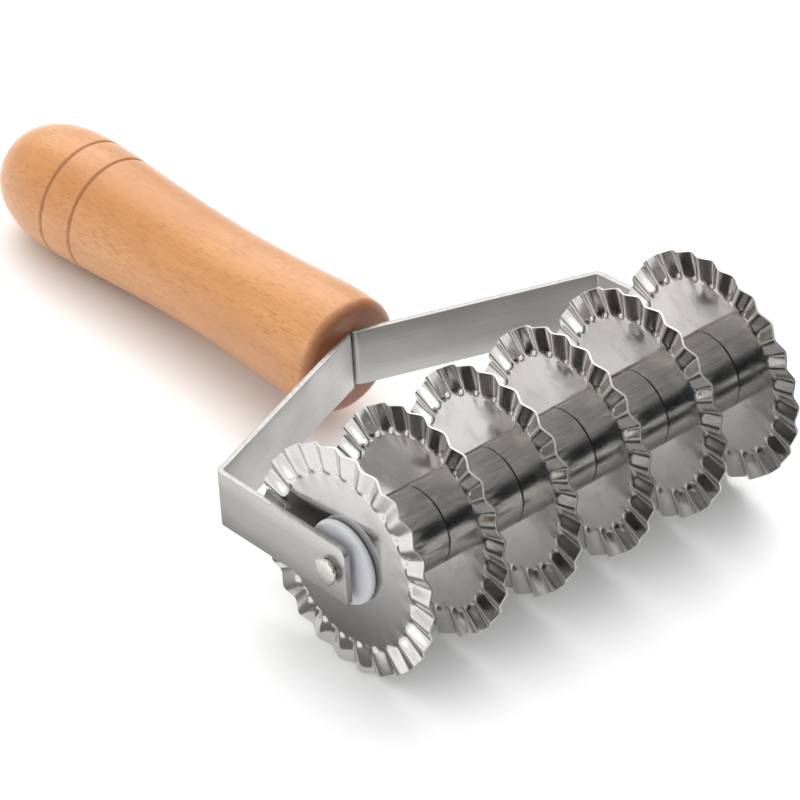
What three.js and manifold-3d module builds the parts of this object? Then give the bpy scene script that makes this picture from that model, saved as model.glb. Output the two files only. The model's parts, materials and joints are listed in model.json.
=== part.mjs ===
// Pastry cutter wheel: six fluted cutting wheels on one roller, carried by a bent
// strap yoke on a turned wooden handle. Millimetres, +Z up. The roller's axle runs
// along X and the handle points towards +Y. The tool is modelled lying on a table,
// on its wheels and on the widest ring of its handle, so z = 0 is the table.
import * as THREE from 'three';
import { mergeVertices } from 'three/addons/utils/BufferGeometryUtils.js';
import Module from 'manifold-3d';

const wasm = await Module();
wasm.setup();

// ---- driving dimensions -------------------------------------------------------
const RUNNING_GAP = 0.3;
// how far a cutting body runs past the faces it cuts
const CUT_MARGIN = 2;

const WHEEL_COUNT = 6;
const WHEEL_RADIUS = 28;
const WHEEL_PITCH = 22;
const SHEET = 0.5;
const FLUTES = 25;
const FLUTE_DEPTH = 1.5;
const FLUTE_START_RADIUS = 20.6;
const FLUTE_FULL_RADIUS = 22.6;
const FLUTE_PHASES = [5.9, 1.4, -1.5, -2, -2.5, -0.5];

const SLEEVE_RADIUS = 9.65;
const SLEEVE_WALL = 1.05;
// how far the sleeves sit below the wheels' centres, clamped where they came to rest
const SLEEVE_DROP = 1.5;
const CORE_WALL = 0.8;

const AXLE_RADIUS = 2.5;
const HEAD_RADIUS = 3.3;
const HEAD_HEIGHT = 1.7;
// fraction of the head's height, fraction of its radius
const HEAD_PROFILE = [[0, 1], [0.65, 1], [0.91, 0.82], [1, 0.45], [1, 0]];

const FLANGE_RADIUS = 10.3;
const FLANGE_THICKNESS = 1.7;
const SPIGOT_LENGTH = 12;

const STRAP_THICKNESS = 1.5;
const STRAP_WIDTH = 14.2;
// Distance of each arm's centre line from the roller's middle, at its free end and at its
// corner: the arms spread towards their ends, and the roller sits over against the right one.
const ARMS = {
  left: { side: -1, endX: 59.7, cornerX: 57.75 },
  right: { side: 1, endX: 59.15, cornerX: 56.7 },
};
const ARM_END_Y = -5.5;
const CORNER_Y = 39.7;
const APEX_X = 0.6;
const APEX_Y = 61.4;
const TANG_END_Y = 99;
const BEND_RADIUS = 1.45;
const END_CORNER_RADIUS = 2.2;

const HANDLE_FRONT_Y = 62.4;
const HANDLE_DROP = 0.4;
const HANDLE_RISE = 3.6;
const HANDLE_TURN = 1.34;
const HANDLE_LENGTH = 114.8;
const DOME_START = 92.1;
// power of the butt's dome: 2 is an ellipse, and more is fuller
const DOME_FULLNESS = 2.4;
const SLOT_DEPTH = 38.5;
const GROOVE_WIDTH = 1.0;
const GROOVE_DEPTH = 0.45;
const HANDLE_WIDEST = 14.75;
// distance behind the front face, radius
const RING_GROOVES = [[81.4, 14.38], [90.8, 14.74]];
const HANDLE_PROFILE = [
  [2.6, 14.3], [9.5, 14.6], [23.4, 13.82], [35.3, 13.25], [47.2, 13.1], [61.1, 13.4], [75, 14.02],
  [85.6, 14.6],
];

// ---- worked-out dimensions ------------------------------------------------------
const degrees = THREE.MathUtils.degToRad;
const wheelX = (index) => (index - (WHEEL_COUNT - 1) / 2) * WHEEL_PITCH;
const lastWheelX = wheelX(WHEEL_COUNT - 1);
const coreOuter = SLEEVE_RADIUS - SLEEVE_WALL - SLEEVE_DROP - RUNNING_GAP;
const coreInner = coreOuter - CORE_WALL;
const hubHole = coreOuter + RUNNING_GAP;
const tangX = STRAP_THICKNESS / 2 + RUNNING_GAP / 2;
const armX = ({ endX, cornerX }, y) => (
  THREE.MathUtils.mapLinear(y, ARM_END_Y, CORNER_Y, endX, cornerX)
);

// ---- materials --------------------------------------------------------------------
const beech = new THREE.MeshStandardMaterial({ color: 0xcf9464, roughness: 0.5, metalness: 0 });
const satinSteel = new THREE.MeshStandardMaterial({ color: 0xb4afa8, roughness: 0.38, metalness: 1 });
const polishedSteel = new THREE.MeshStandardMaterial({ color: 0xc4c2bf, roughness: 0.18, metalness: 1 });
const tubeSteel = new THREE.MeshStandardMaterial({ color: 0x9b9894, roughness: 0.24, metalness: 1 });
const rivetSteel = new THREE.MeshStandardMaterial({ color: 0xa9a49c, roughness: 0.32, metalness: 1 });
const nylon = new THREE.MeshStandardMaterial({ color: 0xe9ecef, roughness: 0.35, metalness: 0 });

// ---- helpers ------------------------------------------------------------------------
function merged(geometry) {
  const bare = geometry.clone();
  bare.deleteAttribute('normal');
  bare.deleteAttribute('uv');
  return mergeVertices(bare, 1e-4);
}

function toSolid(geometry) {
  const bare = merged(geometry);
  return new wasm.Manifold(new wasm.Mesh({
    numProp: 3,
    vertProperties: new Float32Array(bare.attributes.position.array),
    triVerts: new Uint32Array(bare.index.array),
  }));
}

function toGeometry(solid) {
  const mesh = solid.getMesh();
  const geometry = new THREE.BufferGeometry();
  geometry.setAttribute('position', new THREE.BufferAttribute(new Float32Array(mesh.vertProperties), 3));
  geometry.setIndex(new THREE.BufferAttribute(new Uint32Array(mesh.triVerts), 1));
  geometry.computeVertexNormals();
  return geometry;
}

// Turned piece about the X axis, from a closed outline of [x, radius] points whose
// outer surface is listed from high x to low x.
function turnedAboutX(outline, segments) {
  const points = outline.map(([x, radius]) => new THREE.Vector2(radius, x)).reverse();
  const geometry = new THREE.LatheGeometry([...points, points[0]], segments);
  geometry.rotateZ(-Math.PI / 2);
  return geometry;
}

function named(name, geometry, material) {
  const mesh = new THREE.Mesh(geometry, material);
  mesh.name = name;
  return mesh;
}

// ---- roller ----------------------------------------------------------------------------
// A flat pressed disc whose rim is folded into flutes: alternate spokes of the rim
// lean to one side of the sheet and to the other.
function wheelGeometry() {
  const face = [hubHole, FLUTE_START_RADIUS, FLUTE_FULL_RADIUS, WHEEL_RADIUS];
  const front = face.map((radius) => [SHEET / 2, radius]);
  const back = face.map((radius) => [-SHEET / 2, radius]).reverse();
  const geometry = turnedAboutX([...front, ...back], 2 * FLUTES);
  const position = geometry.attributes.position;
  for (let i = 0; i < position.count; i += 1) {
    const y = position.getY(i);
    const z = position.getZ(i);
    const full = Math.hypot(y, z) > (FLUTE_START_RADIUS + FLUTE_FULL_RADIUS) / 2;
    const spoke = Math.round((Math.atan2(y, z) / Math.PI) * FLUTES);
    const side = Math.abs(spoke) % 2 === 0 ? 1 : -1;
    if (full) {
      position.setX(i, position.getX(i) + (side * FLUTE_DEPTH) / 2);
    }
  }
  return geometry;
}

function wheel(index) {
  const mesh = named(`wheel_${index + 1}`, wheelGeometry(), polishedSteel);
  mesh.position.x = wheelX(index);
  mesh.rotation.x = degrees(FLUTE_PHASES[index]);
  return mesh;
}

function sleeve(index) {
  const half = (WHEEL_PITCH - SHEET) / 2 - RUNNING_GAP;
  const inner = SLEEVE_RADIUS - SLEEVE_WALL;
  const outline = [[half, inner], [half, SLEEVE_RADIUS], [-half, SLEEVE_RADIUS], [-half, inner]];
  const mesh = named(`sleeve_${index + 1}`, turnedAboutX(outline, 48), tubeSteel);
  mesh.position.set((wheelX(index) + wheelX(index + 1)) / 2, 0, -SLEEVE_DROP);
  return mesh;
}

function coreTube() {
  const half = lastWheelX + SHEET / 2;
  const outline = [[half, coreInner], [half, coreOuter], [-half, coreOuter], [-half, coreInner]];
  return named('core_tube', turnedAboutX(outline, 40), tubeSteel);
}

// Nylon plug: a spigot inside the core tube and a round-edged flange that spaces
// the end wheel from the arm.
function bush(side) {
  const bore = AXLE_RADIUS + RUNNING_GAP;
  const spigot = coreInner - RUNNING_GAP;
  const flangeBack = lastWheelX + SHEET / 2 + RUNNING_GAP;
  const flangeFront = flangeBack + FLANGE_THICKNESS;
  const edge = FLANGE_THICKNESS / 2;
  const outline = [[flangeFront, bore]];
  for (let step = 0; step <= 6; step += 1) {
    const turn = (step / 6) * Math.PI;
    const x = (flangeFront + flangeBack) / 2 + edge * Math.cos(turn);
    outline.push([x, FLANGE_RADIUS - edge + edge * Math.sin(turn)]);
  }
  const spigotEnd = flangeBack - SPIGOT_LENGTH;
  outline.push([flangeBack, spigot], [spigotEnd, spigot], [spigotEnd, bore]);
  const geometry = turnedAboutX(outline, 36);
  if (side < 0) {
    geometry.rotateZ(Math.PI);
  }
  return named(side < 0 ? 'bush_left' : 'bush_right', geometry, nylon);
}

// ---- yoke ---------------------------------------------------------------------------------
// Axle pin with a low domed head peened over each arm.
function axleHalf(arm) {
  const headBack = armX(arm, -HEAD_RADIUS) + STRAP_THICKNESS / 2 + RUNNING_GAP;
  const head = HEAD_PROFILE.map(([height, width]) => [headBack + height * HEAD_HEIGHT, width * HEAD_RADIUS]);
  return [[headBack, AXLE_RADIUS], ...head].map(([x, radius]) => new THREE.Vector2(radius, arm.side * x));
}

function axle() {
  const points = [...axleHalf(ARMS.left).reverse(), ...axleHalf(ARMS.right)];
  const geometry = new THREE.LatheGeometry(points, 28);
  geometry.rotateZ(-Math.PI / 2);
  return named('axle', geometry, rivetSteel);
}

// Points along a bent line with each corner rounded, each with its direction.
function roundedPath(corners, radius) {
  const path = [{ at: corners[0], along: corners[1].clone().sub(corners[0]).normalize() }];
  for (let i = 1; i < corners.length - 1; i += 1) {
    const before = corners[i].clone().sub(corners[i - 1]).normalize();
    const after = corners[i + 1].clone().sub(corners[i]).normalize();
    const turn = Math.atan2(before.cross(after), before.dot(after));
    const reach = radius * Math.tan(Math.abs(turn) / 2);
    const start = corners[i].clone().addScaledVector(before, -reach);
    const normal = new THREE.Vector2(-before.y, before.x).multiplyScalar(Math.sign(turn));
    const centre = start.clone().addScaledVector(normal, radius);
    for (let step = 0; step <= 6; step += 1) {
      const swept = (turn * step) / 6;
      path.push({
        at: start.clone().rotateAround(centre, swept),
        along: before.clone().rotateAround(new THREE.Vector2(), swept),
      });
    }
  }
  const last = corners[corners.length - 1];
  path.push({ at: last, along: last.clone().sub(corners[corners.length - 2]).normalize() });
  return path;
}

function strapOutline(corners) {
  const path = roundedPath(corners, BEND_RADIUS);
  const offset = ({ at, along }, distance) => new THREE.Vector2(
    at.x - along.y * distance,
    at.y + along.x * distance,
  );
  const left = path.map((point) => offset(point, STRAP_THICKNESS / 2));
  const right = path.map((point) => offset(point, -STRAP_THICKNESS / 2)).reverse();
  return new THREE.Shape([...left, ...right]);
}

// Piece of the strap's square end that rounding its upper corner takes away.
function endCornerWaste() {
  const radius = END_CORNER_RADIUS;
  const top = STRAP_WIDTH / 2;
  const outline = new THREE.Shape();
  outline.moveTo(-CUT_MARGIN, top + CUT_MARGIN);
  outline.lineTo(-CUT_MARGIN, top - radius);
  outline.lineTo(0, top - radius);
  outline.absarc(radius, top - radius, radius, Math.PI, Math.PI / 2, true);
  outline.lineTo(radius, top + CUT_MARGIN);
  const depth = STRAP_THICKNESS + 2 * CUT_MARGIN;
  const geometry = new THREE.ExtrudeGeometry(outline, { depth, bevelEnabled: false, curveSegments: 5 });
  geometry.translate(0, 0, -depth / 2);
  geometry.rotateY(Math.PI / 2);
  geometry.rotateX(Math.PI / 2);
  return geometry;
}

// One strap: side arm, corner, diagonal arm, and the tang inside the handle.
function strapGeometry({ side, endX, cornerX }) {
  const corners = [
    [side * endX, ARM_END_Y],
    [side * cornerX, CORNER_Y],
    [APEX_X + side * tangX, APEX_Y],
    [APEX_X + side * tangX, TANG_END_Y],
  ].map(([x, y]) => new THREE.Vector2(x, y));
  const strap = new THREE.ExtrudeGeometry(strapOutline(corners), { depth: STRAP_WIDTH, bevelEnabled: false });
  strap.translate(0, 0, -STRAP_WIDTH / 2);

  const holeRadius = AXLE_RADIUS + RUNNING_GAP;
  const holeLength = STRAP_THICKNESS + 2 * CUT_MARGIN;
  const pinHole = new THREE.CylinderGeometry(holeRadius, holeRadius, holeLength, 28);
  pinHole.rotateZ(Math.PI / 2);
  pinHole.translate(side * endX, 0, 0);
  const waste = endCornerWaste();
  waste.rotateZ(Math.atan2(side * (endX - cornerX), CORNER_Y - ARM_END_Y));
  waste.translate(side * endX, ARM_END_Y, 0);

  return toGeometry(toSolid(strap).subtract(toSolid(pinHole)).subtract(toSolid(waste)));
}

// ---- handle ---------------------------------------------------------------------------------
function grooveOutline(centre, radius) {
  return [
    [centre - GROOVE_WIDTH / 2, radius],
    [centre, radius - GROOVE_DEPTH],
    [centre + GROOVE_WIDTH / 2, radius],
  ];
}

// Turned outline as [distance behind the front face, radius].
function handleOutline() {
  const edge = HANDLE_PROFILE[0][0];
  const frontRadius = HANDLE_PROFILE[0][1];
  const outline = [[0, 0]];
  for (let step = 0; step <= 4; step += 1) {
    const turn = (step / 4) * (Math.PI / 2);
    outline.push([edge - edge * Math.cos(turn), frontRadius - edge + edge * Math.sin(turn)]);
  }
  const body = new THREE.SplineCurve([...HANDLE_PROFILE, [DOME_START, HANDLE_WIDEST]]
    .map(([along, radius]) => new THREE.Vector2(along, radius)));
  const samples = body.getPoints(20).slice(1).map((point) => [point.x, point.y]);
  const clearOfGrooves = ([along]) => RING_GROOVES.every(([at]) => Math.abs(along - at) > GROOVE_WIDTH);
  const grooves = RING_GROOVES.flatMap(([at, radius]) => grooveOutline(at, radius));
  outline.push(...[...samples.filter(clearOfGrooves), ...grooves].sort((a, b) => a[0] - b[0]));
  const domeLength = HANDLE_LENGTH - DOME_START;
  const power = 2 / DOME_FULLNESS;
  for (let step = 1; step <= 9; step += 1) {
    const turn = (step / 9) * (Math.PI / 2);
    const radius = HANDLE_WIDEST * Math.abs(Math.cos(turn)) ** power;
    outline.push([DOME_START + domeLength * Math.sin(turn) ** power, radius]);
  }
  outline[outline.length - 1][1] = 0;
  return outline;
}

// The slot runs with the tangs, which lie in the yoke's own plane.
function handleSlot() {
  const slot = new THREE.BoxGeometry(
    2 * (tangX + STRAP_THICKNESS / 2 + RUNNING_GAP),
    2 * SLOT_DEPTH,
    STRAP_WIDTH + 2 * RUNNING_GAP,
  );
  slot.translate(APEX_X, HANDLE_FRONT_Y, 0);
  return slot;
}

// The handle sits on the tangs a little crooked: it rises, and it is turned towards -X.
function handleGeometry() {
  const points = handleOutline().map(([along, radius]) => new THREE.Vector2(radius, along));
  const turned = new THREE.LatheGeometry(points, 40);
  turned.rotateX(degrees(HANDLE_RISE));
  turned.rotateZ(degrees(HANDLE_TURN));
  turned.translate(APEX_X, HANDLE_FRONT_Y, -HANDLE_DROP);
  return toGeometry(toSolid(turned).subtract(toSolid(handleSlot())));
}

// Tilt of the yoke that lets the underside of the handle touch the table the wheels stand on.
function restTilt() {
  const rise = degrees(HANDLE_RISE);
  const tilts = handleOutline().map(([along, radius]) => {
    const forward = along * Math.cos(rise) + radius * Math.sin(rise);
    const y = HANDLE_FRONT_Y + forward * Math.cos(degrees(HANDLE_TURN));
    const z = along * Math.sin(rise) - radius * Math.cos(rise) - HANDLE_DROP;
    return Math.atan2(z, y) + Math.asin(WHEEL_RADIUS / Math.hypot(y, z));
  });
  return Math.min(...tilts);
}

// ---- assembly ----------------------------------------------------------------------------------
const roller = new THREE.Group();
roller.add(coreTube(), bush(-1), bush(1));
for (let index = 0; index < WHEEL_COUNT; index += 1) {
  roller.add(wheel(index));
}
for (let index = 0; index < WHEEL_COUNT - 1; index += 1) {
  roller.add(sleeve(index));
}

const holder = new THREE.Group();
holder.add(
  axle(),
  named('arm_left', strapGeometry(ARMS.left), satinSteel),
  named('arm_right', strapGeometry(ARMS.right), satinSteel),
  named('handle', handleGeometry(), beech),
);
holder.rotation.x = -restTilt();

const tool = new THREE.Group();
tool.add(roller, holder);

// The origin is the middle of the tool's own footprint on the table.
tool.updateMatrixWorld(true);
const extent = new THREE.Box3().setFromObject(tool, true);
const middle = extent.getCenter(new THREE.Vector3());
tool.position.set(-middle.x, -middle.y, -extent.min.z);
tool.updateMatrixWorld(true);

export default tool;
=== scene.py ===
"""Looks of a pastry cutter wheel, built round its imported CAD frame.

Metres in Blender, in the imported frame, +Z up. Pieces are laid out in millimetres and scaled by MM.
The roller's axle runs along X. The yoke and handle reach back along +Y, tilted a little, as the
tool lies on its wheels and on the widest ring of its handle.
"""

import itertools
import json
import math

import bmesh
import bpy
import numpy as np
from mathutils import Matrix, Vector


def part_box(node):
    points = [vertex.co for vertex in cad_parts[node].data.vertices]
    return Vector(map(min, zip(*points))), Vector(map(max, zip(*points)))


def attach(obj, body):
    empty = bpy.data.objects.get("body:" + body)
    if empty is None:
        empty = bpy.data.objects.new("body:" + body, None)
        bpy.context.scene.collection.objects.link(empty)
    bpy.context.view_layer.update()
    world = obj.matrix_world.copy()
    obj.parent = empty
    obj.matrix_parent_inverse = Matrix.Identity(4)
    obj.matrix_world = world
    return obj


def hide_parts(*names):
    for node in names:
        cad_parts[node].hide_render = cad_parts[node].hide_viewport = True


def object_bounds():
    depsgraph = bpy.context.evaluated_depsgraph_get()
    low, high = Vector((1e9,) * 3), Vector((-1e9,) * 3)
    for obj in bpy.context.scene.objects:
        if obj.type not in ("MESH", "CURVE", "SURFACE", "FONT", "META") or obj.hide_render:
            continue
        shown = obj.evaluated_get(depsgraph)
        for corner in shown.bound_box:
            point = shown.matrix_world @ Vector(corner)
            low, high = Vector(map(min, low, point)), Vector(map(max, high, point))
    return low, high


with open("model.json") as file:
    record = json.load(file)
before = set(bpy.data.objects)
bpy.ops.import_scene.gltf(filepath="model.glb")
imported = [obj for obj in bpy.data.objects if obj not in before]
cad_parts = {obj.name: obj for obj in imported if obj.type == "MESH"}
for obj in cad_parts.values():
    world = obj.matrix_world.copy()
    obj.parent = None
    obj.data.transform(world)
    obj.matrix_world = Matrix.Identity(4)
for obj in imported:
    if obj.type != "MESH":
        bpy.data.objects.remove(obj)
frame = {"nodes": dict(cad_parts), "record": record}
cad_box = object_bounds()

MM = 0.001
TURN = 2 * math.pi

# ---- driving dimensions, in millimetres ----------------------------------------------
# The main sizes are the CAD's. Edges and folds are finer, and pieces that touch lie closer
# together than the gaps that the CAD leaves between its solids.
WHEELS = [f"wheel_{i}" for i in range(1, 7)]
SLEEVES = [f"sleeve_{i}" for i in range(1, 6)]
WHEEL_SEED = 11
SHEET = 0.5
RIM_RADIUS = 28.0
HUB_HOLE = 7.15
CUT_EDGE_ROUND = 0.06
FLUTES = 25
FLUTE_DEPTH = 1.5
FLUTE_TIP_RADIUS = 22.3
# mesh columns across half a flute, and how round the creases are as a part of half its width
FLUTE_COLUMNS = 9
FLUTE_SOFTNESS = 0.16
# degrees that each wheel is turned by
FLUTE_PHASES = [5.9, 1.4, -1.5, -2, -2.5, -0.5]

SLEEVE_RADIUS = 9.65
SLEEVE_BORE = 8.6
SLEEVE_LIP = 0.28
SLEEVE_CHAMFER = 0.1
# degrees from one sleeve to the next, so that their streaks differ
SLEEVE_TURN = 47
# open gap between a sleeve or bush and the wheel beside it
SEAM = 0.075

AXLE_RADIUS = 2.5
HEAD_RADIUS = 3.3
HEAD_GAP = 0.1
NECK_CUT = 0.2
NECK_HEIGHT = 0.9
HEAD_SEED = 5

FLANGE_RADIUS = 10.3
FLANGE_THICKNESS = 1.9
FLANGE_FLAT_INSET = 0.6
SPIGOT_RADIUS = 5.85
SPIGOT_LENGTH = 12
SPIGOT_CHAMFER = 0.6
BUSH_BORE = 2.7
BORE_CHAMFER = 0.3

STRAP_THICKNESS = 1.5
STRAP_WIDTH = 14.2
STRAP_EDGE = 0.2
STRAP_FLAT = 2.5
PIN_CLEARANCE = 0.15
# side: centre line's distance from the roller's middle at the free end and at the corner
ARMS = {-1: (59.7, 57.75), 1: (59.15, 56.7)}
ARM_END_Y = -5.5
CORNER_Y = 39.7
APEX_X = 0.6
TANG_X = 0.9
APEX_Y = 61.4
TANG_END_Y = 99
BEND_RADIUS = 1.45
# corner of the free end, upper and lower: radius
END_CORNERS = {1: 2.2, -1: 0.5}

HANDLE_FRONT_Y = 62.4
HANDLE_DROP = 0.4
HANDLE_RISE = 3.6
HANDLE_TURN = 1.34
HANDLE_LENGTH = 114.8
DOME_START = 92.1
DOME_FULLNESS = 2.4
HANDLE_WIDEST = 14.75
FRONT_ROUNDING = 2.6
# distances behind the front face
RING_GROOVES = [81.4, 90.8]
GROOVE_WIDTH = 0.36
GROOVE_DEPTH = 0.45
SLOT_DEPTH = 38.5
SLOT_GAP = 0.12
# distance behind the front face, radius
HANDLE_PROFILE = [
    (2.6, 14.3), (9.5, 14.6), (23.4, 13.82), (35.3, 13.25), (47.2, 13.1), (61.1, 13.4), (75, 14.02),
    (85.6, 14.6), (DOME_START, HANDLE_WIDEST),
]

# ---- places from the frame -----------------------------------------------------------
def middle(node):
    low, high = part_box(node)
    return (low + high) / 2


axle_centre = middle("core_tube")
arm_outward = next(m["axis"] for m in frame["record"]["mounts"] if m["name"] == "left_arm_face")
rest_tilt = math.atan2(-arm_outward[2], arm_outward[1])
yoke_place = Matrix.Translation(axle_centre) @ Matrix.Rotation(-rest_tilt, 4, "X")
handle_place = (
    yoke_place
    @ Matrix.Translation((APEX_X * MM, HANDLE_FRONT_Y * MM, -HANDLE_DROP * MM))
    @ Matrix.Rotation(math.radians(HANDLE_TURN), 4, "Z")
    @ Matrix.Rotation(math.radians(HANDLE_RISE), 4, "X")
)


def arm_x(side, y):
    """Distance of an arm's centre line from the roller's middle."""
    end, corner = ARMS[side]
    return end + (corner - end) * (y - ARM_END_Y) / (CORNER_Y - ARM_END_Y)


# ---- mesh helpers --------------------------------------------------------------------
def grid_faces(rows, columns, close_rows=False):
    """Quads of a grid of rows x columns whose columns go all the way round."""
    faces = []
    for row in range(rows if close_rows else rows - 1):
        below = (row + 1) % rows
        for column in range(columns):
            beside = (column + 1) % columns
            faces.append((
                row * columns + column,
                row * columns + beside,
                below * columns + beside,
                below * columns + column,
            ))
    return faces


def end_caps(rows, columns):
    """The two faces that close a grid's first and last rows."""
    last = (rows - 1) * columns
    return [tuple(range(columns)), tuple(range(last + columns - 1, last - 1, -1))]


def turned(profile, segments, closed=True):
    """Vertices and faces of a piece turned about X, from (x, radius) points in millimetres."""
    angles = np.arange(segments) * TURN / segments
    points = np.array(profile, float)
    vertices = np.stack([
        np.repeat(points[:, 0], segments),
        np.outer(points[:, 1], np.cos(angles)).ravel(),
        np.outer(points[:, 1], np.sin(angles)).ravel(),
    ], axis=1)
    faces = grid_faces(len(points), segments, close_rows=closed)
    if not closed:
        faces += end_caps(len(points), segments)
    return vertices, faces


def rounded_corner(centre, radius, start, end, steps):
    """Points of an arc, start and end in degrees from the first axis towards the second."""
    angles = np.radians(np.linspace(start, end, steps))
    return [(centre[0] + radius * math.cos(a), centre[1] + radius * math.sin(a)) for a in angles]


def closed_mesh(name, vertices, faces):
    """Mesh from millimetres, with every face turned outward."""
    mesh = bpy.data.meshes.new(name)
    mesh.from_pydata((np.asarray(vertices) * MM).tolist(), [], faces)
    work = bmesh.new()
    work.from_mesh(mesh)
    bmesh.ops.recalc_face_normals(work, faces=work.faces)
    work.to_mesh(mesh)
    work.free()
    return mesh


def smooth(mesh, sharp):
    """Smooth shading that breaks at edges sharper than so many degrees."""
    mesh.polygons.foreach_set("use_smooth", [True] * len(mesh.polygons))
    mesh.set_sharp_from_angle(angle=math.radians(sharp))


def piece(name, shape, materials, place, body, node, sharp=32, choose=None):
    """A named mesh object in place, riding its body and standing for its CAD node."""
    mesh = closed_mesh(name, *shape)
    for material in materials:
        mesh.materials.append(material)
    if choose is not None:
        mesh.polygons.foreach_set("material_index", choose(mesh))
    smooth(mesh, sharp)
    made = bpy.data.objects.new(name, mesh)
    bpy.context.scene.collection.objects.link(made)
    made.matrix_world = place
    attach(made, body)
    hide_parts(node)
    return made


def cut(target, vertices, faces, sharp):
    """Takes a closed shape, in the target's own millimetres, out of the target."""
    cutter = bpy.data.objects.new("cutter", closed_mesh("cutter", vertices, faces))
    bpy.context.scene.collection.objects.link(cutter)
    cutter.matrix_world = target.matrix_world
    modifier = target.modifiers.new("cut", "BOOLEAN")
    modifier.operation = "DIFFERENCE"
    modifier.solver = "EXACT"
    modifier.object = cutter
    bpy.context.view_layer.update()
    evaluated = target.evaluated_get(bpy.context.evaluated_depsgraph_get())
    result = bpy.data.meshes.new_from_object(evaluated)
    target.modifiers.clear()
    target.data = result
    smooth(result, sharp)
    bpy.data.objects.remove(cutter)


def box_shape(low, high):
    corners = list(itertools.product(*zip(low, high)))
    faces = [(0, 1, 3, 2), (4, 6, 7, 5), (0, 4, 5, 1), (2, 3, 7, 6), (0, 2, 6, 4), (1, 5, 7, 3)]
    return corners, faces


# ---- node helpers --------------------------------------------------------------------
class Nodes:
    """Adds shader nodes to a tree, each returning the socket that the next one takes."""

    def __init__(self, tree):
        self.tree = tree
        tree.nodes.clear()

    def node(self, kind, inputs=None, **settings):
        made = self.tree.nodes.new("ShaderNode" + kind)
        for key, value in settings.items():
            setattr(made, key, value)
        for key, value in (inputs or {}).items():
            self.put(made.inputs[key], value)
        return made

    def put(self, socket, value):
        if isinstance(value, bpy.types.NodeSocket):
            self.tree.links.new(value, socket)
        else:
            socket.default_value = value

    def math(self, operation, *values):
        made = self.node("Math", operation=operation)
        for socket, value in zip(made.inputs, values):
            self.put(socket, value)
        return made.outputs[0]

    def span(self, value, low, high, to_low, to_high):
        """The value's place between low and high, eased, as a number between to_low and to_high."""
        inputs = {"Value": value, "From Min": low, "From Max": high, "To Min": to_low, "To Max": to_high}
        return self.node("MapRange", inputs, interpolation_type="SMOOTHSTEP").outputs[0]

    def mix(self, factor, first, second):
        return self.node("Mix", {0: factor, 6: first, 7: second}, data_type="RGBA").outputs[2]


class Graph(Nodes):
    """One material's nodes, round a Principled shader."""

    def __init__(self, name, **constants):
        self.material = bpy.data.materials.new(name)
        self.material.use_nodes = True
        super().__init__(self.material.node_tree)
        self.shader = self.node("BsdfPrincipled", constants)
        self.node("OutputMaterial", {"Surface": self.shader.outputs[0]})
        self.place = self.node("TexCoord").outputs["Object"]

    def set(self, key, value):
        self.put(self.shader.inputs[key], value)

    def stretched(self, scale, shift=None):
        """The piece's own coordinates, each axis multiplied: a small factor draws marks out along it."""
        place = self.place
        if shift is not None:
            place = self.node("VectorMath", {0: place, 1: shift}, operation="ADD").outputs[0]
        return self.node("Mapping", {"Vector": place, "Scale": scale}).outputs[0]

    def noise(self, scale, size=(1, 1, 1), detail=2.0, roughness=0.5, distortion=0.0, shift=None):
        """Noise with scale features to the metre."""
        inputs = {"Vector": self.stretched(size, shift), "Scale": scale, "Detail": detail,
                  "Roughness": roughness, "Distortion": distortion}
        return self.node("TexNoise", inputs).outputs[0]

    def bump(self, height, strength, distance, normal=None):
        """Normal bent by a height; the distance is in metres."""
        inputs = {"Height": height, "Strength": strength, "Distance": distance}
        if normal is not None:
            inputs["Normal"] = normal
        return self.node("Bump", inputs).outputs[0]


def colour(red, green, blue):
    return (red, green, blue, 1)


def piece_shift(graph):
    """A different place in the noise for each object that shares the material."""
    chance = graph.node("ObjectInfo").outputs["Random"]
    return graph.node("CombineXYZ", {0: chance, 1: graph.math("MULTIPLY", chance, 3.7)}).outputs[0]


# ---- materials -----------------------------------------------------------------------
def beech():
    """Turned beech: short dense flecks along it, thin satin lacquer, darker grooves, and a darker front end
    that is partly end grain and partly painted shade.
    """
    graph = Graph("beech", **{"Coat Weight": 0.75, "Coat Roughness": 0.34, "Specular IOR Level": 0.45})
    broad = graph.noise(62, (1, 0.35, 1), 3, 0.55)
    rings = graph.noise(420, (1, 0.03, 0.6), 3, 0.55, 0.3)
    fibre = graph.noise(3600, (1, 0.05, 1), 2, 0.6)
    flecks = graph.noise(2900, (1, 0.13, 1), 1, 0.4)
    patches = graph.span(graph.noise(150, (1, 0.4, 1), 2, 0.5), 0.36, 0.6, 0.35, 0.85)
    pale, deep = colour(0.63, 0.295, 0.098), colour(0.53, 0.218, 0.055)
    tone = graph.mix(graph.span(broad, 0.36, 0.66, 0, 1), pale, deep)
    tone = graph.mix(graph.span(rings, 0.42, 0.66, 0, 0.3), tone, colour(0.46, 0.185, 0.048))
    tone = graph.mix(graph.span(fibre, 0.3, 0.8, 0, 0.22), tone, colour(0.44, 0.18, 0.048))
    fleck = graph.math("MULTIPLY", graph.span(flecks, 0.53, 0.64, 0, 1), patches)
    tone = graph.mix(fleck, tone, colour(0.43, 0.17, 0.045))
    # Front end: darker partly as real end grain, partly as painted shade of a face turned from the light.
    end = graph.node("Attribute", attribute_name="end_grain_and_shade").outputs["Fac"]
    tone = graph.mix(graph.math("MULTIPLY", end, 0.8), tone, colour(0.26, 0.085, 0.042))
    burn = graph.node("Attribute", attribute_name="burn").outputs["Fac"]
    tone = graph.mix(graph.math("MULTIPLY", burn, 0.55), tone, colour(0.24, 0.075, 0.03))
    graph.set("Base Color", tone)
    graph.set("Roughness", graph.span(fibre, 0.2, 0.8, 0.4, 0.55))
    lathe_marks = graph.noise(1500, (0.02, 1, 0.02), 1, 0.4)
    normal = graph.bump(fibre, 0.25, 0.00005)
    graph.set("Normal", graph.bump(lathe_marks, 0.1, 0.00005, normal))
    return graph.material


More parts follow.
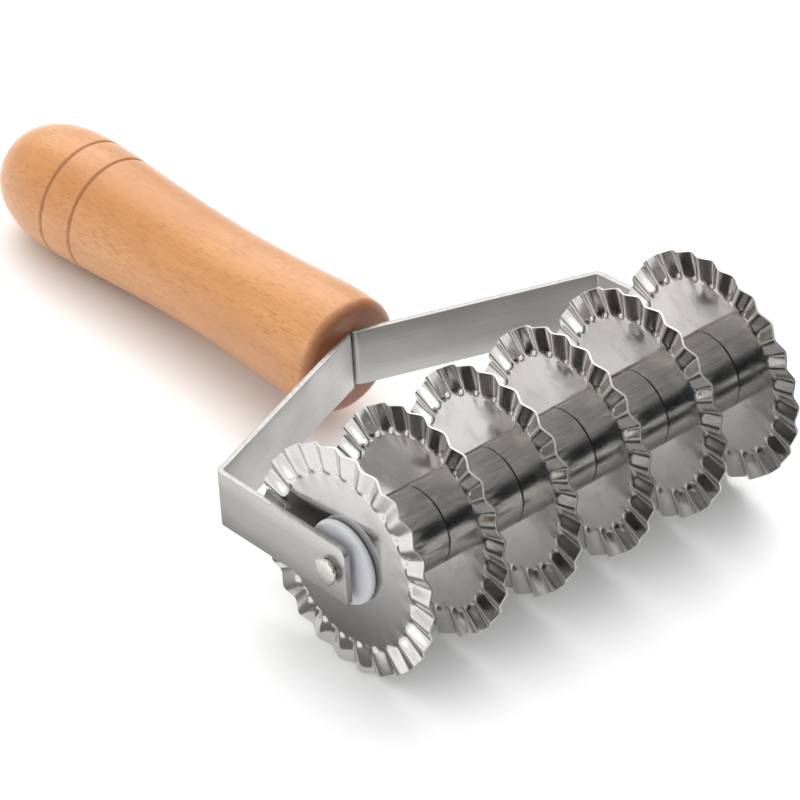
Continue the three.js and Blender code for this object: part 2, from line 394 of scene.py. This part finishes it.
def satin_strap():
    """Strip steel, brushed along its length, with a few handling marks."""
    graph = Graph("satin_strap", Metallic=1.0)
    lines = graph.noise(5200, (0.018, 0.018, 1), 2, 0.65)
    blotch = graph.noise(70, (1, 1, 1), 3, 0.55)
    marks = graph.noise(900, (1, 1, 0.35), 2, 0.5)
    dull, bright = colour(0.53, 0.52, 0.505), colour(0.61, 0.60, 0.585)
    tone = graph.mix(graph.span(lines, 0.3, 0.75, 0, 1), dull, bright)
    tone = graph.mix(graph.span(blotch, 0.45, 0.7, 0, 0.35), tone, colour(0.49, 0.475, 0.455))
    graph.set("Base Color", tone)
    rough = graph.span(blotch, 0.3, 0.7, 0.31, 0.4)
    graph.set("Roughness", graph.math("ADD", rough, graph.span(marks, 0.62, 0.75, 0, 0.12)))
    graph.set("Normal", graph.bump(lines, 0.3, 0.00003))
    return graph.material


def cut_edge(name, tone):
    """Sheared edge of steel sheet or strip: rougher than the face, and pitted."""
    graph = Graph(name, Metallic=1.0)
    shear = graph.noise(2600, (1, 1, 0.3), 2, 0.6)
    pits = graph.noise(900, (1, 1, 1), 2, 0.5)
    darker = tuple(0.72 * part for part in tone[:3]) + (1,)
    graph.set("Base Color", graph.mix(graph.span(pits, 0.5, 0.72, 0, 0.7), tone, darker))
    graph.set("Roughness", graph.span(shear, 0.3, 0.7, 0.34, 0.52))
    graph.set("Normal", graph.bump(shear, 0.35, 0.00005))
    return graph.material


def polished_disc():
    """Bright rolled sheet: nearly a mirror, with faint rolling lines, ripples and finger smudges."""
    graph = Graph("polished_disc", Metallic=1.0)
    shift = piece_shift(graph)
    rolling = graph.noise(3800, (1, 0.02, 1), 2, 0.6, shift=shift)
    ripple = graph.noise(60, (1, 1, 1), 1, 0.4, shift=shift)
    smudge = graph.noise(150, (1, 1, 1), 3, 0.6, 0.6, shift=shift)
    specks = graph.noise(2600, (1, 1, 1), 2, 0.6, shift=shift)
    clean, smudged = colour(0.62, 0.61, 0.595), colour(0.50, 0.485, 0.465)
    tone = graph.mix(graph.span(smudge, 0.45, 0.75, 0, 0.6), clean, smudged)
    tone = graph.mix(graph.span(specks, 0.5, 0.72, 0, 0.4), tone, colour(0.42, 0.405, 0.39))
    graph.set("Base Color", tone)
    rough = graph.span(smudge, 0.4, 0.72, 0.09, 0.19)
    graph.set("Roughness", graph.math("ADD", rough, graph.span(rolling, 0.4, 0.8, 0, 0.05)))
    normal = graph.bump(ripple, 0.2, 0.0004)
    graph.set("Normal", graph.bump(specks, 0.12, 0.00002, normal))
    return graph.material


def tube_steel():
    """Drawn tube: worn polish with dense fine streaks along its length and brownish stains."""
    graph = Graph("tube_steel", Metallic=1.0)
    shift = piece_shift(graph)
    streaks = graph.noise(5200, (0.035, 1, 1), 3, 0.6, shift=shift)
    wear = graph.noise(700, (0.12, 1, 1), 2, 0.5, shift=shift)
    stain = graph.noise(190, (1, 1, 1), 3, 0.6, shift=shift)
    bright, dull = colour(0.52, 0.505, 0.49), colour(0.33, 0.32, 0.31)
    tone = graph.mix(graph.span(streaks, 0.35, 0.7, 0, 1), bright, dull)
    tone = graph.mix(graph.span(wear, 0.5, 0.75, 0, 0.35), tone, colour(0.27, 0.26, 0.255))
    tone = graph.mix(graph.span(stain, 0.52, 0.74, 0, 0.4), tone, colour(0.33, 0.285, 0.25))
    graph.set("Base Color", tone)
    graph.set("Roughness", graph.span(streaks, 0.3, 0.7, 0.15, 0.28))
    graph.set("Normal", graph.bump(streaks, 0.16, 0.00002))
    return graph.material


def rivet_steel():
    """Peened pin: hammered flats, tiny pits and a buffed edge."""
    graph = Graph("rivet_steel", Metallic=1.0)
    flats = graph.node("TexVoronoi", {"Vector": graph.place, "Scale": 620.0}).outputs["Distance"]
    pits = graph.noise(2400, (1, 1, 1), 3, 0.6)
    tone = graph.mix(graph.span(pits, 0.5, 0.7, 0, 0.7), colour(0.66, 0.64, 0.61), colour(0.46, 0.44, 0.41))
    graph.set("Base Color", tone)
    graph.set("Roughness", graph.span(pits, 0.35, 0.7, 0.22, 0.4))
    normal = graph.bump(flats, 0.25, 0.00015)
    graph.set("Normal", graph.bump(pits, 0.3, 0.00004, normal))
    return graph.material


def nylon():
    """White moulded nylon, slightly translucent, with faint flow marks."""
    graph = Graph("nylon", **{
        "Subsurface Weight": 0.1, "Subsurface Scale": 0.0012, "Specular IOR Level": 0.35,
    })
    flow = graph.noise(260, (1, 1, 1), 2, 0.5)
    grain = graph.noise(3000, (1, 1, 1), 2, 0.5)
    light, shade = colour(0.60, 0.615, 0.64), colour(0.55, 0.57, 0.60)
    graph.set("Base Color", graph.mix(graph.span(flow, 0.35, 0.7, 0, 1), light, shade))
    graph.set("Roughness", graph.span(flow, 0.3, 0.7, 0.3, 0.42))
    graph.set("Normal", graph.bump(grain, 0.12, 0.00004))
    return graph.material


# ---- cutting wheels ------------------------------------------------------------------
def flute_height(angle, radius, depth, tip):
    """How far the crimped sheet stands off its flat middle plane: ribs and dents in turn, each
    with a straight crest and a rounded cone at its inner end."""
    halves = angle * 2 * FLUTES / TURN
    nearest = np.round(halves)
    across = (halves - nearest) * 2
    side = np.where(nearest.astype(int) % 2 == 0, 1.0, -1.0)
    half_width = TURN * FLUTE_TIP_RADIUS / FLUTES / 4
    beyond = np.clip((tip - radius) / half_width, 0, None)
    distance = np.hypot(across, beyond)
    soft = FLUTE_SOFTNESS
    slope = (np.hypot(distance, soft) - soft) / (math.hypot(1, soft) - soft)
    return side * depth / 2 * np.clip(1 - slope, 0, None)


def wheel_shape(seed):
    """A pressed disc of sheet with a crimped rim, both faces and the rounded cut edge."""
    chance = np.random.RandomState(seed)
    columns = FLUTES * 2 * FLUTE_COLUMNS
    radii = np.concatenate([
        [HUB_HOLE, 8.4, 9.4, 10.5, 12, 14, 16, 17.5, 18.7, 19.6, 20.1],
        np.arange(20.4, 22.9, 0.24), [23.2, 23.8, 24.6, 25.5, 26.4, 27.2, 27.75, RIM_RADIUS - 0.03],
    ])
    angles = np.arange(columns) * TURN / columns
    angle, radius = np.meshgrid(angles, radii)

    steps = np.round(angle * 2 * FLUTES / TURN).astype(int) % (2 * FLUTES)
    depth = FLUTE_DEPTH * (1 + 0.07 * chance.uniform(-1, 1, 2 * FLUTES))[steps]
    tip = FLUTE_TIP_RADIUS + 0.22 * chance.uniform(-1, 1, 2 * FLUTES)[steps]
    wander = 0.006 * np.sin(3 * angle + chance.uniform(0, TURN))
    wander += 0.004 * np.sin(7 * angle + chance.uniform(0, TURN))
    height = flute_height((angle + wander) % TURN, radius, depth, tip)
    for _ in range(2):
        height = (np.roll(height, 1, 1) + 2 * height + np.roll(height, -1, 1)) / 4
        height[1:-1] = (height[:-2] + 2 * height[1:-1] + height[2:]) / 4

    ease = np.clip((radius - SLEEVE_RADIUS) / 10, 0, 1) ** 2
    warp = 0.05 * ease * np.cos(2 * angle + chance.uniform(0, TURN))
    warp += 0.03 * ease * np.cos(3 * angle + chance.uniform(0, TURN))
    pucker = 0.03 * np.cos(FLUTES * angle) * np.exp(-(((radius - 19.8) / 1.1) ** 2))
    sheet = np.stack([height + warp + pucker, radius * np.cos(angle), radius * np.sin(angle)], axis=-1)

    around = np.roll(sheet, -1, 1) - np.roll(sheet, 1, 1)
    outward = np.gradient(sheet, axis=0)
    normal = np.cross(outward, around)
    normal /= np.linalg.norm(normal, axis=-1, keepdims=True)
    front = sheet + normal * SHEET / 2
    back = (sheet - normal * SHEET / 2)[::-1]
    out = np.stack([np.zeros(columns), np.cos(angles), np.sin(angles)], axis=-1) * CUT_EDGE_ROUND
    inset = normal[-1] * CUT_EDGE_ROUND
    edge = np.stack([front[-1] - inset + out, back[0] + inset + out])
    rows = np.concatenate([front, edge, back])
    return rows.reshape(-1, 3), grid_faces(len(rows), columns, close_rows=True)


def wheels(face, edge):
    def choose(mesh):
        radii = [math.hypot(p.center.y, p.center.z) for p in mesh.polygons]
        return [1 if r > (RIM_RADIUS - 0.02) * MM else 0 for r in radii]

    for index, name in enumerate(WHEELS):
        turn = Matrix.Rotation(math.radians(FLUTE_PHASES[index]), 4, "X")
        place = Matrix.Translation(middle(name)) @ turn
        shape = wheel_shape(WHEEL_SEED + index)
        piece(f"{name}_crimped", shape, [face, edge], place, "roller", name, choose=choose)


# ---- rest of the roller --------------------------------------------------------------
def sleeve_shape(half):
    """Short tube about X, with rounded outer lips; half is half its length."""
    lip, chamfer = SLEEVE_LIP, SLEEVE_CHAMFER
    right = rounded_corner((half - lip, SLEEVE_RADIUS - lip), lip, 0, 90, 6)
    left = [(-x, r) for x, r in reversed(right)]
    inner = [
        (-half, SLEEVE_BORE + chamfer), (-half + chamfer, SLEEVE_BORE),
        (half - chamfer, SLEEVE_BORE), (half, SLEEVE_BORE + chamfer),
    ]
    middle_ring = [(x, SLEEVE_RADIUS) for x in (half / 2, 0, -half / 2)]
    return turned(right + middle_ring + left + inner, 144)


def sleeves(material):
    for index, name in enumerate(SLEEVES):
        pitch = (middle(WHEELS[index + 1]) - middle(WHEELS[index])).x / MM
        half = (pitch - SHEET) / 2 - SEAM
        turn = Matrix.Rotation(math.radians(SLEEVE_TURN * index), 4, "X")
        place = Matrix.Translation(middle(name)) @ turn
        piece(f"{name}_tube", sleeve_shape(half), [material], place, "roller", name)


def bush_shape():
    """Bush of the +X end, about the axle centre."""
    back = (middle(WHEELS[-1]).x - axle_centre.x) / MM + SHEET / 2 + SEAM
    front = back + FLANGE_THICKNESS
    edge = FLANGE_THICKNESS / 2 - 0.05
    ring = rounded_corner(((front + back) / 2, FLANGE_RADIUS - edge), edge, 0, 180, 17)
    flat = FLANGE_RADIUS - edge - FLANGE_FLAT_INSET
    tip = back - SPIGOT_LENGTH
    face = [(front, BUSH_BORE + BORE_CHAMFER), (front, flat)]
    root = [(back, flat), (back, SPIGOT_RADIUS)]
    end = [(tip + SPIGOT_CHAMFER, SPIGOT_RADIUS), (tip, SPIGOT_RADIUS - SPIGOT_CHAMFER)]
    bore = [
        (tip, BUSH_BORE + BORE_CHAMFER), (tip + BORE_CHAMFER, BUSH_BORE), (front - BORE_CHAMFER, BUSH_BORE),
    ]
    return turned(face + ring + root + end + bore, 96)


def bushes(material):
    for name, turn in (("bush_right", 0), ("bush_left", 180)):
        place = Matrix.Translation(axle_centre) @ Matrix.Rotation(math.radians(turn), 4, "Z")
        piece(f"{name}_moulded", bush_shape(), [material], place, "roller", name)


# ---- axle pin ------------------------------------------------------------------------
def axle_pin(material):
    """Pin with a mushroomed head beyond each arm; the hammer left each head a little uneven."""
    neck = AXLE_RADIUS - NECK_CUT
    crown = [(1.42, 0.985), (1.58, 0.93), (1.68, 0.82), (1.74, 0.62), (1.79, 0.4), (1.81, 0.18)]
    head = [
        (0, AXLE_RADIUS), (0.1, neck), (NECK_HEIGHT, neck), (1.0, HEAD_RADIUS - 0.2),
        (1.06, HEAD_RADIUS - 0.04), (1.2, HEAD_RADIUS), *((x, HEAD_RADIUS * part) for x, part in crown),
    ]
    bases = {side: arm_x(side, -HEAD_RADIUS) + STRAP_THICKNESS / 2 + HEAD_GAP for side in ARMS}
    profile = [(-x - bases[-1], r) for x, r in reversed(head)] + [(x + bases[1], r) for x, r in head]
    vertices, faces = turned(profile, 72, closed=False)
    chance = np.random.RandomState(HEAD_SEED)
    angle = np.arctan2(vertices[:, 2], vertices[:, 1])
    radius = np.hypot(vertices[:, 1], vertices[:, 2])
    for side, base in bases.items():
        on_head = side * vertices[:, 0] > base + NECK_HEIGHT
        swell = sum(
            chance.uniform(0.01, 0.03) * np.cos(k * angle + chance.uniform(0, TURN)) for k in (2, 3, 5, 8)
        )
        grow = np.where(on_head, 1 + swell * np.clip(radius / HEAD_RADIUS, 0, 1), 1)
        vertices[:, 1:] *= grow[:, None]
        dish = 0.1 * np.cos(angle + chance.uniform(0, TURN)) * radius / HEAD_RADIUS
        vertices[:, 0] -= np.where(on_head & (side * vertices[:, 0] > base + 1), side * np.abs(dish), 0)
    shape = (vertices, faces)
    piece("axle_peened", shape, [material], yoke_place, "frame", "axle", sharp=45)


# ---- yoke straps ---------------------------------------------------------------------
def strap_path(side):
    """Centre line of a strap as (point, direction) pairs, each bend rounded."""
    end, corner = ARMS[side]
    corners = [
        Vector((side * end, ARM_END_Y)), Vector((side * corner, CORNER_Y)),
        Vector((APEX_X + side * TANG_X, APEX_Y)), Vector((APEX_X + side * TANG_X, TANG_END_Y)),
    ]
    first = (corners[1] - corners[0]).normalized()
    longest = max(END_CORNERS.values())
    path = [
        (corners[0] + first * longest * (1 - math.cos(a)), first) for a in np.radians(np.linspace(0, 90, 10))
    ]
    path += [(corners[0] + first * reach, first) for reach in (8.0, 20.0, 32.0)]
    for before, at, after in zip(corners, corners[1:], corners[2:]):
        entry, leave = (at - before).normalized(), (after - at).normalized()
        turn = math.atan2(entry.x * leave.y - entry.y * leave.x, entry.dot(leave))
        start = at - entry * BEND_RADIUS * math.tan(abs(turn) / 2)
        centre = start + Vector((-entry.y, entry.x)) * math.copysign(BEND_RADIUS, turn)
        for step in range(13):
            swept = Matrix.Rotation(turn * step / 12, 2)
            path.append((centre + swept @ (start - centre), swept @ entry))
    path.append((corners[-1], leave))
    return path


def strap_section(top, bottom):
    """Rounded oblong across the strap as (thickness, width) points, anticlockwise."""
    edge, half = STRAP_EDGE, STRAP_THICKNESS / 2
    points = rounded_corner((half - edge, top - edge), edge, 0, 90, 4)
    points += rounded_corner((-half + edge, top - edge), edge, 90, 180, 4)
    points += [(-half, z) for z in (STRAP_FLAT, -STRAP_FLAT)]
    points += rounded_corner((-half + edge, bottom + edge), edge, 180, 270, 4)
    points += rounded_corner((half - edge, bottom + edge), edge, 270, 360, 4)
    return points + [(half, z) for z in (-STRAP_FLAT, STRAP_FLAT)]


def strap_shape(side):
    """Strap swept along its path, its free end's corners rounded by narrowing the section there."""
    path = strap_path(side)
    start = path[0][0]
    vertices = []
    for point, along in path:
        reach = (point - start).length
        ends = {}
        for end, radius in END_CORNERS.items():
            short = max(radius - reach, 0)
            ends[end] = end * (STRAP_WIDTH / 2 - (radius - math.sqrt(radius ** 2 - short ** 2)))
        for across, height in strap_section(ends[1], ends[-1]):
            vertices.append((point.x - along.y * across, point.y + along.x * across, height))
    count = len(vertices) // len(path)
    return vertices, grid_faces(len(path), count) + end_caps(len(path), count)


def straps(face, edge):
    def choose(mesh):
        sheared = []
        for polygon in mesh.polygons:
            on_end = polygon.center.y < (ARM_END_Y + 0.1) * MM
            sheared.append(1 if abs(polygon.normal.z) > 0.5 or on_end else 0)
        return sheared

    for side, node in ((-1, "arm_left"), (1, "arm_right")):
        arm = piece(
            f"{node}_strap", strap_shape(side), [face, edge], yoke_place, "frame", node,
            sharp=50, choose=choose,
        )
        hole_x = side * arm_x(side, 0)
        hole = [(x, AXLE_RADIUS + PIN_CLEARANCE) for x in (hole_x - 2, hole_x + 2)]
        cut(arm, *turned(hole, 48, closed=False), sharp=50)


# ---- handle --------------------------------------------------------------------------
def through(points, per_stretch):
    """Points of a smooth curve through the given ones (Catmull-Rom)."""
    given = np.array([points[0], *points, points[-1]], float)
    made = []
    for a, b, c, d in zip(given, given[1:], given[2:], given[3:]):
        for t in np.arange(per_stretch) / per_stretch:
            made.append(0.5 * (2 * b + (c - a) * t + (2 * a - 5 * b + 4 * c - d) * t ** 2
                               + (3 * b - a - 3 * c + d) * t ** 3))
    return np.array([*made, given[-1]])


def handle_profile():
    """(distance behind the front face, radius) from the front face's middle to the butt."""
    edge, front = FRONT_ROUNDING, HANDLE_PROFILE[0][1]
    face = [(0.0, r) for r in (0.05, 3.0, 6.0, 9.0)]
    rounding = rounded_corner((edge, front - edge), edge, 180, 90, 12)
    body = through(HANDLE_PROFILE, 10)
    reach = 3 * GROOVE_WIDTH
    rings = [np.linspace(at - reach, at + reach, 17) for at in RING_GROOVES]
    along = np.unique(np.concatenate([body[1:, 0], *rings]))
    radius = np.interp(along, body[:, 0], body[:, 1])
    for at in RING_GROOVES:
        radius -= GROOVE_DEPTH * np.exp(-(((along - at) / GROOVE_WIDTH) ** 2))
    swept = np.radians(np.linspace(9, 89.6, 36))
    power = 2 / DOME_FULLNESS
    dome_along = DOME_START + (HANDLE_LENGTH - DOME_START) * np.sin(swept) ** power
    dome = list(zip(dome_along, HANDLE_WIDEST * np.cos(swept) ** power))
    keep = along < dome_along[0] - 0.3
    return face + rounding + list(zip(along[keep], radius[keep])) + dome


def handle(material):
    vertices, faces = turned(handle_profile(), 128, closed=False)
    vertices = np.stack([-vertices[:, 1], vertices[:, 0], vertices[:, 2]], axis=1)
    shape = (vertices, faces)
    made = piece("handle_turned", shape, [material], handle_place, "frame", "handle", sharp=50)
    width = TANG_X + STRAP_THICKNESS / 2 + SLOT_GAP
    height = STRAP_WIDTH / 2 + SLOT_GAP
    low = (APEX_X - width, HANDLE_FRONT_Y - SLOT_DEPTH, -height)
    corners, sides = box_shape(low, (APEX_X + width, HANDLE_FRONT_Y + SLOT_DEPTH, height))
    level = handle_place.inverted() @ yoke_place
    cut(made, [tuple(level @ (Vector(corner) * MM) / MM) for corner in corners], sides, sharp=50)
    along = np.array([v.co.y for v in made.data.vertices]) / MM
    burn = sum(np.exp(-(((along - at) / (1.3 * GROOVE_WIDTH)) ** 2)) for at in RING_GROOVES)
    # Mask of the front face, for its darker colour: real end grain and painted shade of a face turned from
    # the light.
    end_grain_and_shade = np.clip(1 - along / (0.8 * FRONT_ROUNDING), 0, 1) ** 0.6
    for name, values in (("burn", burn), ("end_grain_and_shade", end_grain_and_shade)):
        attribute = made.data.attributes.new(name, "FLOAT", "POINT")
        attribute.data.foreach_set("value", values.astype(np.float32))


# ---- stage, in metres ----------------------------------------------------------------
FLOOR_REACH = 4.0
FLOOR_GAP = 0.0002
CARD_LIFT = 0.0006
LOOK_AT = (0, 0, 0.02)

CAMERA_AZIMUTH, CAMERA_ELEVATION, CAMERA_ROLL = -42.59, 37.69, 1.63
CAMERA_DISTANCE = 2137.4 * MM
CAMERA_OFFSET = Vector((-16.8, 26.0, 10.1)) * MM
FOCAL_LENGTH = 429.9

DARK = colour(0.018, 0.03, 0.034)


def rectangle(low, high, z):
    return [(low[0], low[1], z), (high[0], low[1], z), (high[0], high[1], z), (low[0], high[1], z)]


def flat(name, corners, material):
    """A single face of the stage."""
    mesh = bpy.data.meshes.new(name)
    mesh.from_pydata(corners, [], [(0, 1, 2, 3)])
    mesh.materials.append(material)
    made = bpy.data.objects.new(name, mesh)
    bpy.context.scene.collection.objects.link(made)
    return made


def floor():
    graph = Graph("pale_floor", Roughness=0.7, **{"Specular IOR Level": 0.2})
    shade = graph.noise(3, (1, 1, 1), 2, 0.5)
    graph.set("Base Color", graph.mix(shade, colour(0.95, 0.95, 0.95), colour(0.93, 0.93, 0.93)))
    corners = rectangle((-FLOOR_REACH, -FLOOR_REACH), (FLOOR_REACH, FLOOR_REACH), 0)
    made = flat("floor", corners, graph.material)
    made.location.z = cad_box[0].z - FLOOR_GAP


def card(name, low, high, first, last):
    """Card lying on the floor and seen only in reflections, so a painted reflection, graded from its low X
    edge to its high one.
    """
    graph = Graph(name, Roughness=1.0)
    across = graph.node("SeparateXYZ", {0: graph.place}).outputs["X"]
    graph.set("Base Color", graph.mix(graph.span(across, low[0], high[0], 0, 1), first, last))
    made = flat(name, rectangle(low, high, cad_box[0].z + CARD_LIFT), graph.material)
    for ray in ("camera", "diffuse", "transmission", "volume_scatter", "shadow"):
        setattr(made, f"visible_{ray}", False)


def softbox(name, place, size, power, tint=(1, 1, 1)):
    """Rectangular lamp turned towards the tool, its power in watts."""
    light = bpy.data.lights.new(name, "AREA")
    light.shape = "RECTANGLE"
    light.size, light.size_y = size
    light.energy = power
    light.color = tint
    made = bpy.data.objects.new(name, light)
    bpy.context.scene.collection.objects.link(made)
    made.location = place
    made.rotation_euler = (Vector(LOOK_AT) - Vector(place)).to_track_quat("-Z", "Y").to_euler()
    made.visible_camera = False
    return made


def surroundings():
    """Room that lights the tool and that its steel reflects: dark in front and at the right, a pale sweep
    behind, lighter overhead and on the left. White to the camera."""
    world = bpy.data.worlds.new("studio")
    bpy.context.scene.world = world
    world.use_nodes = True
    nodes = Nodes(world.node_tree)
    direction = nodes.node("SeparateXYZ", {0: nodes.node("TexCoord").outputs["Generated"]})
    across, behind, up = (direction.outputs[axis] for axis in "XYZ")
    low = nodes.mix(nodes.span(across, -0.1, 0.35, 0, 1), colour(0.20, 0.205, 0.21), DARK)
    low = nodes.mix(nodes.span(behind, -0.68, -0.5, 1, 0), low, DARK)
    room = nodes.mix(nodes.span(up, 0.42, 0.72, 0, 1), low, colour(0.72, 0.725, 0.73))
    sweep = nodes.math("MULTIPLY", nodes.span(behind, 0.3, 0.7, 0, 1), nodes.span(up, 0.65, 0.95, 1, 0.5))
    room = nodes.mix(sweep, room, colour(0.80, 0.80, 0.79))
    room = nodes.mix(nodes.span(across, -0.95, -0.62, 1, 0), room, colour(1.15, 1.14, 1.12))
    camera_ray = nodes.node("LightPath").outputs["Is Camera Ray"]
    seen = nodes.mix(camera_ray, room, colour(0.98, 0.98, 0.98))
    background = nodes.node("Background", {"Color": seen, "Strength": 1.0})
    nodes.node("OutputWorld", {"Surface": background.outputs[0]})


def camera():
    """Long lens, from the front left and above."""
    azimuth, elevation, roll = (
        math.radians(a) for a in (CAMERA_AZIMUTH, CAMERA_ELEVATION, CAMERA_ROLL)
    )
    target = axle_centre + CAMERA_OFFSET
    level = math.cos(elevation)
    back = Vector((math.sin(azimuth) * level, -math.cos(azimuth) * level, math.sin(elevation)))
    lens = bpy.data.cameras.new("camera")
    lens.lens = FOCAL_LENGTH
    lens.sensor_width = 36
    lens.clip_start, lens.clip_end = 0.1, 30
    made = bpy.data.objects.new("camera", lens)
    bpy.context.scene.collection.objects.link(made)
    aim = (-back).to_track_quat("-Z", "Y").to_matrix().to_4x4()
    turn = aim @ Matrix.Rotation(roll, 4, "Z")
    made.matrix_world = Matrix.Translation(target + back * CAMERA_DISTANCE) @ turn
    bpy.context.scene.camera = made


def studio():
    floor()
    surroundings()
    camera()
    softbox("key", (0.6, 0.6, 1.1), (1.7, 1.7), 15.0, (1, 0.99, 0.975))
    ceiling = softbox("ceiling", (0, 0, 2.2), (5, 5), 52.0)
    ceiling.visible_glossy = False
    window = softbox("left_window", (-1.1, 0.15, 0.45), (0.7, 0.6), 2.2, (1, 0.99, 0.98))
    window.visible_diffuse = False
    # Painted dark reflection: a near-black card in front of the tool, seen only in reflections, where the
    # steel shows a dark band.
    card("front_card", (-0.04, -0.7), (0.8, -0.118), colour(0.05, 0.055, 0.06), colour(0.02, 0.026, 0.03))
    # Painted contact shadow of the tool on the floor, seen only in reflections: pale far to the left, dark
    # next to the tool.
    card("left_card", (-0.105, -0.125), (-0.058, 0.06), colour(0.88, 0.88, 0.88), colour(0.24, 0.24, 0.24))
    scene = bpy.context.scene
    scene.view_settings.view_transform = "Standard"
    scene.cycles.glossy_bounces = 10


# ---- assembly ------------------------------------------------------------------------
steel_face = polished_disc()
# The disc's cut edge is lighter than its faces: partly burnished steel, partly a painted highlight along the
# rim.
steel_edge_and_highlight = cut_edge("disc_edge_and_painted_highlight", colour(0.74, 0.73, 0.715))
tube = tube_steel()
wheels(steel_face, steel_edge_and_highlight)
sleeves(tube)
bushes(nylon())
axle_pin(rivet_steel())
straps(satin_strap(), cut_edge("strap_edge", colour(0.47, 0.455, 0.44)))
handle(beech())
core = frame["nodes"]["core_tube"]
core.data.materials.clear()
core.data.materials.append(tube)
studio()
